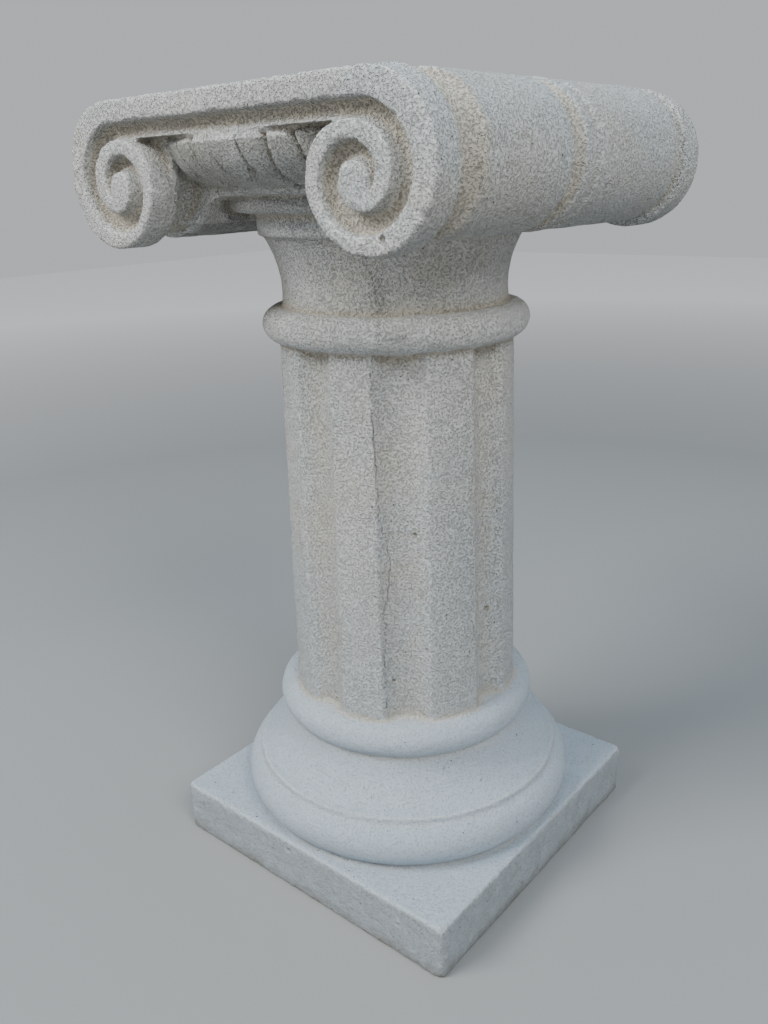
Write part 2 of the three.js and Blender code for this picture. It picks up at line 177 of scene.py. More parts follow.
# %% [markdown]
# The base has a large roll, a thin fillet, a hollow apron and a smaller roll under the shaft.

# %% Base mouldings
def hollow(foot, top, bend, steps):
    rows = []
    for t in np.linspace(0, 1, steps + 1):
        a, b, c = (1 - t) ** 2, 2 * t * (1 - t), t ** 2
        rows.append((a * foot[0] + b * bend[0] + c * top[0], a * foot[1] + b * bend[1] + c * top[1]))
    return rows


base_rows = [(145, PLINTH_HEIGHT - 6), *arc(LOWER_ROLL[0], LOWER_ROLL_Z, LOWER_ROLL[1], -85, 66, 22),
             (FILLET_R, 103.6), (FILLET_R, 109), (FILLET_R - 1, 109.8)]
base_rows += hollow((157.5, APRON_FOOT_Z + 0.6), (126, APRON_TOP_Z), (131.5, 121.5), 12)
base_rows += arc(UPPER_ROLL[0], UPPER_ROLL_Z, UPPER_ROLL[1], -68, 90, 18)
base_rows += [(113, SHAFT_FOOT_Z + 0.5), (106, SHAFT_FOOT_Z + 3)]
base_rows += [(100, SHAFT_FOOT_Z + 6), (60, SHAFT_FOOT_Z + 6)]
stone.append(turned("base", base_rows))

# %% [markdown]
# The shaft tapers a little. Its eight flutes are shallow and wide, and end on a small slope at each moulding.
# The flute that faces the corner was cut wider than the rest. One long cylinder is the gouge for each.

# %% Shaft with its flutes
FLUTE_DEPTH = 11
FLUTES = [(45, -3.7 + 45 * i) for i in range(8)]
FLUTES[1] = (52, 39.5)
shaft_foot, shaft_top, sunk = 116.3, 111.3, 14
taper = (shaft_foot - shaft_top) / (SHAFT_TOP_Z - SHAFT_FOOT_Z)
low, high = SHAFT_FOOT_Z - sunk, SHAFT_TOP_Z + sunk
shaft = turned("shaft", [(shaft_foot + sunk * taper, low), (shaft_top - sunk * taper, high)], sides=240)
gouges = []
for width, degrees in FLUTES:
    radius = ((width / 2) ** 2 + FLUTE_DEPTH ** 2) / (2 * FLUTE_DEPTH)
    middle = (shaft_foot + shaft_top) / 2 - FLUTE_DEPTH + radius
    turn = math.radians(degrees)
    place = (middle * math.sin(turn) * MM, -middle * math.cos(turn) * MM, (low + high) / 2 * MM)
    bpy.ops.mesh.primitive_cylinder_add(vertices=96, radius=radius * MM, depth=(high - low + 20) * MM,
                                        location=place, rotation=(-math.atan(taper), 0, turn))
    gouges.append(still(bpy.context.object))
choose(*gouges)
bpy.ops.object.join()
carve(shaft, bpy.context.object)
stone.append(shaft)
print("shaft", len(shaft.data.polygons), "faces")

# %% [markdown]
# Above the shaft come a bead, a hollow neck, a plain collar and a ring that the eggs rest on.

# %% Neck
neck_rows = [(60, SHAFT_TOP_Z - 5), (100, SHAFT_TOP_Z - 5), (105, SHAFT_TOP_Z - 2.5)]
neck_rows += arc(BEAD[0], BEAD_Z, BEAD[1], -90, 90, 18)
neck_rows += hollow((106.5, NECK_FOOT_Z), (119.5, COLLAR_Z), (101, NECK_FOOT_Z + 32), 14)
neck_rows += [(122, COLLAR_Z), (124, COLLAR_Z + 2), (124, RING_Z - 9)]
neck_rows += arc(RING[0], RING_Z, RING[1], -90, 90, 14) + [(60, EGG_FOOT_Z)]
stone.append(turned("neck", neck_rows))

# %% [markdown]
# Each roll of the capital lies along Y. It has a raised ridge in its middle, with a hollow band before it,
# a plain barrel on both sides, and a deeper band behind each scroll face. Their floors rise towards the back.

# %% One roll of the capital, then its mirror
ROLL_R, ROLL_X, ROLL_Z = 57.2, 143.2, 696.5
FRONT_Y, FACE_BACK = -198, -170


def hollow_band(start, end, depth, rise):
    floor_r = ROLL_R - depth
    return [(start, ROLL_R), (start + 0.8, floor_r), ((start + end) / 2, floor_r - 0.4),
            (end - 3, floor_r + rise), (end - 1, floor_r + rise - 0.8), (end, ROLL_R)]


along = [(FACE_BACK - 8, 40), (FACE_BACK - 6, ROLL_R), *hollow_band(FACE_BACK, -140, 6.5, 2)]
along += [*hollow_band(-26, -7, 5.5, 3), (-4, ROLL_R + 0.4), (6, ROLL_R + 0.2), (9, ROLL_R - 1)]
along += [(11, ROLL_R - 4), (14, ROLL_R - 3), (16, ROLL_R)]
along += [*hollow_band(156, 170, 6, 1), (176, ROLL_R), (178, 40)]
rolls = []
for side in (1, -1):
    roll = turned("roll", [(r, y) for y, r in along], sides=160)
    roll.rotation_euler = (-math.pi / 2, 0, 0)
    roll.location = (side * ROLL_X * MM, 0, ROLL_Z * MM)
    rolls.append(still(roll))
print("rolls from y", along[0][0], "to", along[-1][0], "mm")

# %% [markdown]
# A scroll face is one flat plate. Its outline follows the roll's round end, and then the scroll's inner side.
# The scroll's edges are given as radii from the eye, every eighth of a turn clockwise from the top.

# %% The scroll's two edges
EYE_X, EYE_Z = 135, 684
EDGE_DEGREES = [270, 285, 300, 315, 330, 345, 360, 405, 450, 495, 540, 585, 630, 675, 720, 765, 810, 855, 880]
EDGE_RADIUS = [46.5, 46.5, 45.2, 43, 40.2, 38.2, 36.5, 35.2, 31.3, 25, 20.2, 17, 16.1, 13.8,
               11.5, 10.7, 11, 12.2, 12.8]
WALL_DEGREES = [0, 45, 90, 135, 180, 225, 270, 315, 360, 405, 450, 480, 510]
WALL_RADIUS = [50, 51.5, 50.5, 41.5, 36.5, 36.8, 34.2, 29.2, 24.2, 21.3, 17.2, 15, 13.2]


def smooth_value(angle, degrees, radii):
    knots = np.arange(degrees[0], degrees[-1] + 1, 1.0)
    values = np.interp(knots, degrees, radii)
    window = np.abs(knots - angle) < 26
    weight = 1 + np.cos((knots[window] - angle) * math.pi / 26)
    return float((values[window] * weight).sum() / weight.sum())


def from_eye(angle, radius):
    turn = math.radians(angle)
    return EYE_X + radius * math.sin(turn), EYE_Z + radius * math.cos(turn)


def scroll_edge(angle):
    return from_eye(angle, smooth_value(angle, EDGE_DEGREES, EDGE_RADIUS))


def channel_wall(angle):
    return from_eye(angle, smooth_value(angle, WALL_DEGREES, WALL_RADIUS))


print("scroll edge under the eye:", [round(v, 1) for v in scroll_edge(540)])

# %% The plate with both scrolls
CHANNEL_FOOT, CHANNEL_TOP = 720.5, 734
FACE_END_X, FACE_END_R = 145, 58.9


def plate_outline():
    right = arc(FACE_END_X, FACE_TOP_Z - FACE_END_R, FACE_END_R, 90, -165, 64)
    right += [scroll_edge(angle) for angle in range(278, 356, 6)]
    right.append((EYE_X, CHANNEL_FOOT + 0.7))
    return right + [(-x, z) for x, z in reversed(right)]


def plate(name, outline, back, front, edge):
    clear()
    bpy.ops.mesh.primitive_circle_add(vertices=len(outline), radius=0.1, fill_type="NGON")
    body = still(bpy.context.object)
    body.name = name
    for vertex, (x, z) in zip(body.data.vertices, outline):
        vertex.co = (x * MM, back * MM, z * MM)
    bpy.ops.object.mode_set(mode="EDIT")
    bpy.ops.mesh.select_all(action="SELECT")
    bpy.ops.mesh.extrude_region_move(TRANSFORM_OT_translate={"value": (0, (front - back) * MM, 0)})
    bpy.ops.mesh.select_all(action="SELECT")
    bpy.ops.mesh.normals_make_consistent(inside=False)
    bpy.ops.object.mode_set(mode="OBJECT")
    if edge:
        apply_modifier(body, "BEVEL", width=edge * MM, segments=4, limit_method="ANGLE",
                       angle_limit=math.radians(60), use_clamp_overlap=False)
    print(name, len(body.data.polygons), "faces")
    return body


face = plate("scroll_face", plate_outline(), FACE_BACK, FRONT_Y, 2.4)

# %% [markdown]
# The channel is a hollow with a round floor. It runs level under the top band and winds into both scrolls.
# A ring of points is drawn along its path as the cutter, from one eye to the other, and then taken out.

# %% Cut the channel
CHANNEL_DEPTH = 12


def swept(name, rings):
    clear()
    count = len(rings[0])
    bpy.ops.mesh.primitive_circle_add(vertices=count, radius=0.01, fill_type="NGON")
    body = still(bpy.context.object)
    body.name = name
    bpy.ops.object.mode_set(mode="EDIT")
    bpy.ops.mesh.select_all(action="SELECT")
    for _ in rings[1:]:
        bpy.ops.mesh.extrude_region_move(TRANSFORM_OT_translate={"value": (0, 0, 0.001)})
    bpy.ops.object.mode_set(mode="OBJECT")
    body.data.vertices.foreach_set("co", (np.array(rings, float) * MM).ravel())
    bpy.ops.object.mode_set(mode="EDIT")
    bpy.ops.mesh.select_all(action="SELECT")
    bpy.ops.mesh.normals_make_consistent(inside=False)
    bpy.ops.object.mode_set(mode="OBJECT")
    print(name, len(body.data.polygons), "faces")
    return body


def channel_ring(side, angle):
    wall, edge = channel_wall(angle), scroll_edge(angle + 360)
    if angle == 0:
        wall, edge = (EYE_X, CHANNEL_TOP), (EYE_X, CHANNEL_FOOT)
    ring = []
    for t in np.linspace(0, math.pi, 13):
        across = (1 - math.cos(t)) / 2
        deep = CHANNEL_DEPTH * math.sin(t) ** 0.7 * min(1, math.dist(wall, edge) / 13)
        x, z = (w + (e - w) * across for w, e in zip(wall, edge))
        ring.append((side * x, FRONT_Y + deep, z))
    for across in (1, 0):
        x, z = (w + (e - w) * across for w, e in zip(wall, edge))
        ring.append((side * x, FRONT_Y - 3, z))
    return ring


path = [channel_ring(-1, angle) for angle in range(504, -1, -6)]
path += [channel_ring(1, angle) for angle in range(0, 505, 6)]
carve(face, swept("channel_cutter", path))
print("face after the channel:", len(face.data.polygons), "faces")

# %% [markdown]
# The back face is the front one turned round, and a little narrower. Between the faces a thick slab
# carries a thin cap, and a coved web hangs under the slab between the rolls.

# %% Back face, cap and web
FRONT_WIDTH, BACK_WIDTH = 408, 402
choose(face)
bpy.ops.object.duplicate()
back_face = bpy.context.object
back_face.rotation_euler = (0, 0, math.pi)
back_face.scale.x = BACK_WIDTH / FRONT_WIDTH
still(back_face)


def block(x, y0, y1, z0, z1):
    clear()
    bpy.ops.mesh.primitive_cube_add(size=1, location=(0, (y0 + y1) / 2 * MM, (z0 + z1) / 2 * MM),
                                    scale=(2 * x * MM, (y1 - y0) * MM, (z1 - z0) * MM))
    return still(bpy.context.object)


slab = block(ROLL_X, -172, 172, LEDGE_Z, FACE_TOP_Z)
cap = block(ROLL_X, -140, 156, FACE_TOP_Z - 10, TOP_Z - 0.8)
web_side = [(62.2, 674), *arc(62.2, 640, 34, 75, 20, 10), (ROLL_X, 650), (ROLL_X, 730)]
web = plate("web", web_side + [(-x, z) for x, z in reversed(web_side)], 146, -146, 0)
print("cap and web ready")

# %% [markdown]
# Between the scrolls a quarter round swells out under a narrow ledge. It starts plain. Its eggs are
# carved later, in the finished skin, so that their cuts stay crisp.

# %% Plain quarter round
swell = [(150, EGG_FOOT_Z - 2), (151.5, 679.5), (157, 681)]
swell += hollow((157, 681), (195.5, 713), (190, 688), 24)[1:]
swell += [(196.2, 714.5), (195.2, 716.2), (192.6, 718.3), (189, 719.4), (184, LEDGE_Z)]
round_rows = [(120, EGG_FOOT_Z - 2), *swell, (160, LEDGE_Z + 0.5), (120, LEDGE_Z + 2)]
quarter_round = turned("quarter_round", round_rows)
carve(quarter_round, block(112, -210, 210, 655, 745), operation="INTERSECT")

# %% [markdown]
# The capital sits turned by a little more than a degree on its shaft, as cast.
# All the forms are joined and remeshed into one skin of small squares. This melts them together
# and leaves soft inner corners, as in a casting, where a plain union would leave knife edges.

# %% Melt the forms into one casting
CAPITAL_TURN = -1.3
SKIN_SQUARE = 1.5
choose(face, back_face, slab, cap, web, quarter_round, *rolls)
bpy.ops.object.join()
capital = bpy.context.object
capital.rotation_euler = (0, 0, math.radians(CAPITAL_TURN))
still(capital)
choose(capital, *stone)
bpy.ops.object.join()
pedestal = bpy.context.object
pedestal.name = "cast_pedestal"
pedestal.data.materials.clear()
apply_modifier(pedestal, "REMESH", mode="VOXEL", voxel_size=SKIN_SQUARE * MM)
print("skin:", len(pedestal.data.vertices), "points")
apply_modifier(pedestal, "SMOOTH", factor=0.5, iterations=1)

# %% [markdown]
# From here on the skin is shaped point by point. These helpers read all its points at once, give each its
# bearing, reach and height, and tell how far it lies below its smoothed neighbours.

# %% Helpers that read and move the skin
def points_of(body):
    co = np.empty(len(body.data.vertices) * 3)
    body.data.vertices.foreach_get("co", co)
    return co.reshape(-1, 3)


def normals_of(body):
    out = np.empty(len(body.data.vertices) * 3)
    body.data.vertex_normals.foreach_get("vector", out)
    return out.reshape(-1, 3)


def move_to(body, points):
    body.data.vertices.foreach_set("co", np.clip(points, *np.array(cad_box)).ravel())
    body.data.update()


def ripple(points, scale, seed):
    shift = Vector((seed * 3.7, seed * 1.9, seed * 5.3))
    return np.array([noise.noise(Vector(p) * scale + shift) for p in points])


def polar(points):
    turn = math.radians(-CAPITAL_TURN)
    x = points[:, 0] * math.cos(turn) - points[:, 1] * math.sin(turn)
    y = points[:, 0] * math.sin(turn) + points[:, 1] * math.cos(turn)
    front = np.where(y < 0, 1, -1)
    return np.degrees(np.arctan2(front * x, -front * y)), np.hypot(x, y) / MM, points[:, 2] / MM


def on_swell(points, slack):
    angle, reach, height = polar(points)
    profile = np.array(swell)
    gap = np.abs(reach - np.interp(height, profile[:, 1], profile[:, 0]))
    return (np.abs(angle) < 34) & (height > 679) & (height < 718.2) & (gap < slack)


def smoothed(body, rounds):
    count = len(body.data.vertices)
    pairs = np.empty(len(body.data.edges) * 2, int)
    body.data.edges.foreach_get("vertices", pairs)
    a, b = pairs.reshape(-1, 2).T
    degree = np.bincount(a, minlength=count) + np.bincount(b, minlength=count)
    points = points_of(body)
    for _ in range(rounds):
        total = np.zeros_like(points)
        for axis in range(3):
            total[:, axis] = np.bincount(a, points[b, axis], count) + np.bincount(b, points[a, axis], count)
        points = 0.4 * points + 0.6 * total / degree[:, None]
    return points


def depth_below(body, rounds, reach):
    height = ((smoothed(body, rounds) - points_of(body)) * normals_of(body)).sum(1) / MM
    return np.clip(height / reach, -1, 1)


print("skin helpers ready")

# %% [markdown]
# The eggs are the finest carving, so the skin's squares are split once more there, and nowhere else.

# %% Finer squares where the eggs will be
choose(pedestal)
bpy.ops.object.mode_set(mode="EDIT")
bpy.ops.mesh.select_mode(type="FACE")
bpy.ops.mesh.select_all(action="DESELECT")
bpy.ops.object.mode_set(mode="OBJECT")
centres = np.empty(len(pedestal.data.polygons) * 3)
pedestal.data.polygons.foreach_get("center", centres)
pedestal.data.polygons.foreach_set("select", on_swell(centres.reshape(-1, 3), 5))
bpy.ops.object.mode_set(mode="EDIT")
bpy.ops.mesh.subdivide(number_cuts=1, smoothness=0)
bpy.ops.object.mode_set(mode="OBJECT")
print("skin with finer squares:", len(pedestal.data.vertices), "points")

# %% [markdown]
# Each egg lies in a shell. A groove runs round the egg, wide on its left and narrow on its right, and
# opens into a dark pocket under it. A slanted cut parts neighbouring shells, and notches round off their feet.

# %% Carve the eggs
EGG_STEP, EGG_CENTRE, EGG_LEAN, CUT_AT = 25, -0.4, 2.6, 13.0  # degrees
EGG_TOP_Z, EGG_DROP, EGG_ARC, EGG_HALF = 717, 36, 52, 16.5


def egg_relief(angle, reach, height):
    down = np.clip((EGG_TOP_Z - height) / EGG_DROP, 0, 1)
    per_degree = np.radians(1) * reach
    along = down * EGG_ARC
    off = (angle - EGG_CENTRE - EGG_LEAN * down + EGG_STEP / 2) % EGG_STEP - EGG_STEP / 2
    across = off * per_degree
    half = EGG_HALF - 2.5 * down
    tip = np.maximum(0, along - 27) / 15
    ring = ((np.abs(across) / half) ** 2.4 + tip ** 2.4) ** (1 / 2.4) * half - half
    low = np.clip((along - 30) / 10, 0, 1)
    width = np.where(across < 0, 4.4 - 2.4 * down, 2.2) + 3 * low
    inner, outer = np.clip(1 + ring / 1.3, 0, 1), np.clip(1 - ring / width, 0, 1)
    relief = -(4.2 + 3 * low) * np.where(ring < 0, inner, outer)
    relief += np.where(ring < 0, 1.4 * np.clip(1 - (across / half) ** 2, 0, 1), 0)
    left = ((CUT_AT - angle) % EGG_STEP) * per_degree
    right = EGG_STEP * per_degree - left
    slope = np.clip(1 - left / (8.5 - 5.5 * down), 0, 1)
    relief -= (7 - 2.5 * down) * np.maximum(slope, np.clip(1 - right / 1.2, 0, 1))
    notch = np.clip((down - 0.8) / 0.12, 0, 1) * np.clip(1 - np.minimum(left / 5.5, right / 4), 0, 1)
    return relief - 9 * notch


co, up = points_of(pedestal), normals_of(pedestal)
angle, reach, height = polar(co)
turn = np.radians(angle + CAPITAL_TURN)
sideways = np.abs(up[:, 0] * np.cos(turn) + up[:, 1] * np.sin(turn))
carved = on_swell(co, 2.2) & (sideways < 0.55)
co[carved] += up[carved] * egg_relief(angle[carved], reach[carved], height[carved])[:, None] * MM
move_to(pedestal, co)
print("points carved:", int(carved.sum()))

# %% [markdown]
# A casting is never quite true. The whole skin waves by less than a millimetre, the plinth's sides are rough,
# and the left scroll's edge kept a ragged seam. Air left a few larger pits, and one edge is chipped.

# %% Uneven skin
# Each pit is given as its place (x, y, z), its radius and its depth.
PITS = [(105.2, 0.3, 284.3, 3.4, 1.5), (75.2, -73.6, 378.9, 2.6, 1.7), (58.7, -90.3, 229.1, 1.9, 2.2),
        (153, -201.5, 646.6, 3.2, 2.6), (188.4, -200.2, 661.3, 3.6, 1.2), (-17.3, -176, 46.4, 2.3, 2.2),
        (85.8, -72.5, 263.7, 2.4, 1.1), (197.6, -88.7, 702.1, 1.9, 1.6), (195.8, 29.3, 673.2, 1.8, 1.6),
        (-2.4, -109.7, 617.5, 1.9, 1.6), (-70, 88, 330, 2.8, 1.6), (-195, 40, 700, 2.2, 1.5)]
co, up = points_of(pedestal), normals_of(pedestal)
x, y, z = (co / MM).T
from_middle = np.hypot(x, y)
push = 0.4 * ripple(co, 45, 1) + 0.24 * ripple(co, 130, 2) + 0.05
plinth_side = np.clip((58 - z) / 4, 0, 1) * (np.abs(up[:, 2]) < 0.8)
push += plinth_side * 0.9 * ripple(co, 190, 3)
ragged = (x < -194) & (y < -150)
push[ragged] += 2.4 * ripple(co[ragged], 130, 4) - 0.4
edges = np.clip(-depth_below(pedestal, 6, 0.9) - 0.2, 0, 1)
chipped = edges > 0
push[chipped] -= 3 * edges[chipped] * np.clip(3 * ripple(co[chipped], 120, 8) - 0.5, 0, 1)
on_shaft = (z > 190) & (z < 543) & (from_middle < 118)
push[on_shaft] += 0.3 * ripple(co[on_shaft], 330, 5)
soil_and_shade = np.zeros(len(co))
for pit_x, pit_y, pit_z, radius, depth in PITS:
    offset = co / MM - (pit_x, pit_y, pit_z)
    lift = (offset * up).sum(1)
    aside = np.sqrt(np.maximum(0, (offset ** 2).sum(1) - lift ** 2)) / radius
    inside = (aside < 1) & (np.abs(lift) < 6)
    push[inside] -= depth * np.sqrt(1 - aside[inside] ** 2)
    soil_and_shade[inside & (aside < 0.9)] = 0.6 if radius < 3.5 else 0
coarse = np.zeros(len(co))
for middle, size in (((55, -93, 598), (15, 15, 34)), ((77, -97, 563), (19, 19, 8))):
    away = np.sqrt((((co / MM - middle) / size) ** 2).sum(1))
    coarse = np.maximum(coarse, np.clip(1.6 * (1 - away), 0, 1))
inner_side = (z > 636) & (z < 671) & (np.abs(y) < 142) & (from_middle > 130)
inner_side &= -up[:, 0] * np.sign(x) > 0.2
patch = inner_side & (ripple(co, 28, 6) < 0.22)
push[patch] -= 0.9
coarse[patch] = 1
rough = coarse > 0.05
push[rough] += 0.5 * coarse[rough] * ripple(co[rough], 300, 7)
push[z < 2] = 0
move_to(pedestal, co + up * push[:, None] * MM)
print("skin moved by", round(push.min(), 2), "to", round(push.max(), 2), "mm")

# %% [markdown]
# Hollows are painted warmer and darker, partly as dirt and lime that settle there and partly as painted shade,
# and edges are rubbed pale. To know where that is, the skin is smoothed in thought: where the smoothed skin
# lies above the real one, there is a hollow. Dirt and painted shade mark the plinth's sides, most of all at
# their foot;
# the pits are darkened, and painted shade marks the eggs, the ring and the shaded undersides. The floors of
# the rolls' bands are marked too, so that they are painted warm like the other hollows.

# %% Mark hollows, creases, soil and painted shade
def mark(body, name, values):
    layer = body.data.attributes.new(name, "FLOAT", "POINT")
    layer.data.foreach_set("value", values)
    print(name, "from", round(float(values.min()), 2), "to", round(float(values.max()), 2))


mark(pedestal, "hollow", depth_below(pedestal, 60, 4))
mark(pedestal, "crease", depth_below(pedestal, 6, 0.9))
# Dirt and painted shade: the plinth's sides are darkened, most of all at their foot.
soil_and_shade = np.maximum(soil_and_shade, plinth_side * (0.45 + 0.55 * np.clip((16 - z) / 16, 0, 1)))
# Painted shade: the capital's surfaces that face down are darkened.
soil_and_shade = np.maximum(soil_and_shade, 0.5 * np.clip(-up[:, 2], 0, 1) * (z > 600))
# Painted shade on the eggs.
soil_and_shade = np.maximum(soil_and_shade, 0.6 * on_swell(co, 9) * (z < 714.5))
# Painted shade on the ring under the eggs.
soil_and_shade = np.maximum(soil_and_shade, 0.5 * (z > 659) * (z < 677) * (from_middle > 130) * (from_middle < 150))
soil_and_shade = np.maximum(soil_and_shade, np.where(patch, 0.6, 0.2 * coarse))
mark(pedestal, "soil_and_shade", soil_and_shade)
mark(pedestal, "coarse", coarse)
BAND_FLOORS = ((-171, -139), (-27, -7), (155, 171))
in_band = np.zeros(len(co), bool)
for start, end in BAND_FLOORS:
    in_band |= (y > start) & (y < end)
from_axis = np.hypot(np.abs(x) - ROLL_X, z - ROLL_Z)
in_band &= (from_axis > 44) & (from_axis < ROLL_R - 1.6) & (np.abs(x) > 120)
mark(pedestal, "band", in_band.astype(float))

# %% [markdown]
# A skin of even squares spends as many on a flat side as on an egg. Decimate merges those that lie
# nearly flat, and keeps the ones that carry form.

# %% Fewer triangles where the skin is plain
TRIANGLES = 196000
apply_modifier(pedestal, "TRIANGULATE")
apply_modifier(pedestal, "DECIMATE", ratio=TRIANGLES / len(pedestal.data.polygons))
move_to(pedestal, points_of(pedestal))
choose(pedestal)
bpy.ops.object.shade_smooth()
print("casting:", len(pedestal.data.polygons), "triangles")

# %% [markdown]
# Cast stone is pale cement and fine sand. It is matt, with warm and cool patches, tiny round pinholes
# from air in the mould, and a grain of sand that shows most above the smooth base.
# All of it is worked out from the place on the object, so it stays put from every side.

# %% A helper for nodes
stone_look = bpy.data.materials.new("cast_stone")
stone_look.use_nodes = True
tree = stone_look.node_tree
shader = tree.nodes["Principled BSDF"]
shader.inputs["Roughness"].default_value = 0.9
shader.inputs["Specular IOR Level"].default_value = 0.25
place = tree.nodes.new("ShaderNodeTexCoord").outputs["Object"]


def node(kind, inputs=(), **settings):
    made = tree.nodes.new(kind)
    for name, value in settings.items():
        setattr(made, name, value)
    for key, value in dict(inputs).items():
        if isinstance(value, bpy.types.NodeSocket):
            tree.links.new(value, made.inputs[key])
        else:
            made.inputs[key].default_value = value
    return made


def grain(scale, detail=3.0, rough=0.5):
    return node("ShaderNodeTexNoise", {"Vector": place, "Scale": scale, "Detail": detail,
                                       "Roughness": rough}).outputs["Fac"]


def spread(value, low, high, to_low=0.0, to_high=1.0):
    return node("ShaderNodeMapRange", {"Value": value, "From Min": low, "From Max": high, "To Min": to_low,
                                       "To Max": to_high}).outputs["Result"]


def maths(operation, a, b=0.0):
    return node("ShaderNodeMath", {0: a, 1: b}, operation=operation).outputs["Value"]


def times(a, b):
    return maths("MULTIPLY", a, b)


def mixed(share, first, second):
    made = node("ShaderNodeMix", {"Factor": share}, data_type="RGBA")
    for socket, value in ((made.inputs[6], first), (made.inputs[7], second)):
        if isinstance(value, bpy.types.NodeSocket):
            tree.links.new(value, socket)
        else:
            socket.default_value = (*value, 1)
    return made.outputs[2]


def marked(name):
    return node("ShaderNodeAttribute", attribute_name=name, attribute_type="GEOMETRY").outputs["Fac"]


print("material started:", stone_look.name)

# %% Colour
pale, cool, warm, lime = (0.64, 0.63, 0.6), (0.58, 0.6, 0.61), (0.6, 0.535, 0.435), (0.74, 0.73, 0.71)
shade, grime_and_shade, deep = (0.45, 0.53, 0.62), (0.2, 0.19, 0.165), (0.085, 0.078, 0.065)
level = node("ShaderNodeSeparateXYZ", {"Vector": place}).outputs["Z"]
colour = mixed(spread(grain(7), 0.35, 0.65), pale, cool)
colour = mixed(spread(grain(16, 4), 0.48, 0.75, 0, 0.4), colour, warm)
# Painted sky light and shade: the base is painted bluer and darker, the shaft a little towards its foot.
colour = mixed(spread(level, 0.5, 0.19, 0, 0.3), colour, shade)
colour = mixed(spread(level, 0.195, 0.186, 0, 0.8), colour, shade)
# The hollows and the rolls' band floors are painted warm, partly as dirt and partly as painted shade.
hollows = maths("MAXIMUM", spread(marked("hollow"), 0.03, 0.35, 0, 0.85), times(marked("band"), 0.8))
colour = mixed(times(hollows, spread(level, 0.1, 0.25, 0.25, 1)), colour, warm)
# Painted shade: the hollows are painted darker.
colour = mixed(spread(marked("hollow"), 0.1, 0.8, 0, 0.22), colour, grime_and_shade)
colour = mixed(spread(marked("crease"), -0.15, -0.7, 0, 0.5), colour, lime)
colour = mixed(spread(grain(900, 2), 0.55, 0.8, 0, 0.4), colour, lime)
colour = mixed(spread(grain(600, 2), 0.55, 0.75, 0, 0.38), colour, grime_and_shade)
# Painted shade: creases are painted dark in patches.
shade_in_creases = times(spread(marked("crease"), 0.25, 0.9, 0, 0.45), spread(grain(60), 0.3, 0.6))
colour = mixed(shade_in_creases, colour, grime_and_shade)
# This mark paints dirt, and painted shade on the undersides, the eggs, the ring and the plinth's sides.
colour = mixed(times(marked("soil_and_shade"), spread(grain(45, 5), 0.25, 0.65, 0.55, 1)), colour, grime_and_shade)
pitted = spread(grain(520, 2, 0.6), 0.34, 0.5)
colour = mixed(spread(pitted, 0, 0.8, 0.3, 0), colour, grime_and_shade)
print("colours mixed")

# %% [markdown]
# A pinhole is a round spot in the middle of a Voronoi cell. Only some cells have one, in three sizes,
# and a slow noise gathers them in clusters.

# %% Pinholes
def pinholes(cell, radius, share):
    cells = node("ShaderNodeTexVoronoi", {"Vector": place, "Scale": 1000 / cell}, feature="F1")
    lot = node("ShaderNodeSeparateColor", {"Color": cells.outputs["Color"]}).outputs["Red"]
    edge = times(spread(lot, 1 - share, 1.0, 0.4, 1), radius / cell)
    kept = maths("GREATER_THAN", lot, 1 - share)
    return times(kept, spread(maths("SUBTRACT", edge, cells.outputs["Distance"]), 0, 0.3 * radius / cell))


holes = pinholes(5.5, 0.8, 0.25)
for cell, radius, share in ((10, 1.15, 0.3), (27, 1.7, 0.22)):
    holes = maths("MAXIMUM", holes, pinholes(cell, radius, share))
holes = times(holes, spread(grain(28, 2), 0.36, 0.5))
rough_holes = times(times(marked("coarse"), 0.5), spread(grain(420, 2), 0.54, 0.7))
holes = maths("MAXIMUM", holes, rough_holes)

# %% [markdown]
# The mould's halves met in a line that runs from the right scroll down the neck and along a flute's edge.
# It opened into a hairline in places. A second line of specks runs down the shaft on the left, and the
# same two are repeated on the far side.

# %% Mould seams
x_place, y_place = (node("ShaderNodeSeparateXYZ", {"Vector": place}).outputs[axis] for axis in ("X", "Y"))
bearing = maths("ARCTAN2", x_place, times(y_place, -1))
wander = spread(grain(60, 3), 0.3, 0.7, -0.012, 0.012)


def seam(course, width, parts):
    off = maths("ABSOLUTE", maths("ADD", maths("SUBTRACT", bearing, course), wander))
    line = spread(off, width, width * 0.4)
    drawn = 0
    for foot, top, strength in parts:
        window = times(spread(level, foot, foot + 0.012), spread(level, top, top - 0.012))
        drawn = maths("ADD", drawn, times(window, strength))
    return times(line, drawn)


jog = times(spread(level, 0.3, 0.352, 0, 0.075), spread(level, 0.4, 0.352))
front_course = maths("ADD", spread(level, 0.3, 0.506, 0.517, 0.475), jog)
neck_course = spread(level, 0.565, 0.62, 0.575, 0.478)
specks = spread(grain(380, 2), 0.5, 0.6)
cracks = seam(front_course, 0.005, [(0.425, 0.5, 0.5), (0.3, 0.375, 0.45)])
cracks = maths("MAXIMUM", cracks, times(seam(front_course, 0.01, [(0.19, 0.54, 0.5)]), specks))
cracks = maths("MAXIMUM", cracks, times(seam(neck_course, 0.014, [(0.55, 0.64, 0.5)]), specks))
for course in (-0.622, -0.622 + math.pi, 0.5 - math.pi):
    cracks = maths("MAXIMUM", cracks, times(seam(course, 0.014, [(0.19, 0.545, 0.7)]), specks))
dark = maths("MAXIMUM", times(holes, 0.85), cracks)
colour = mixed(dark, colour, deep)
tree.links.new(colour, shader.inputs["Base Color"])
print("seams drawn")

# %% [markdown]
# Sand and pinholes are finer than the mesh, so a bump tilts the surface for them. Larger forms are real.

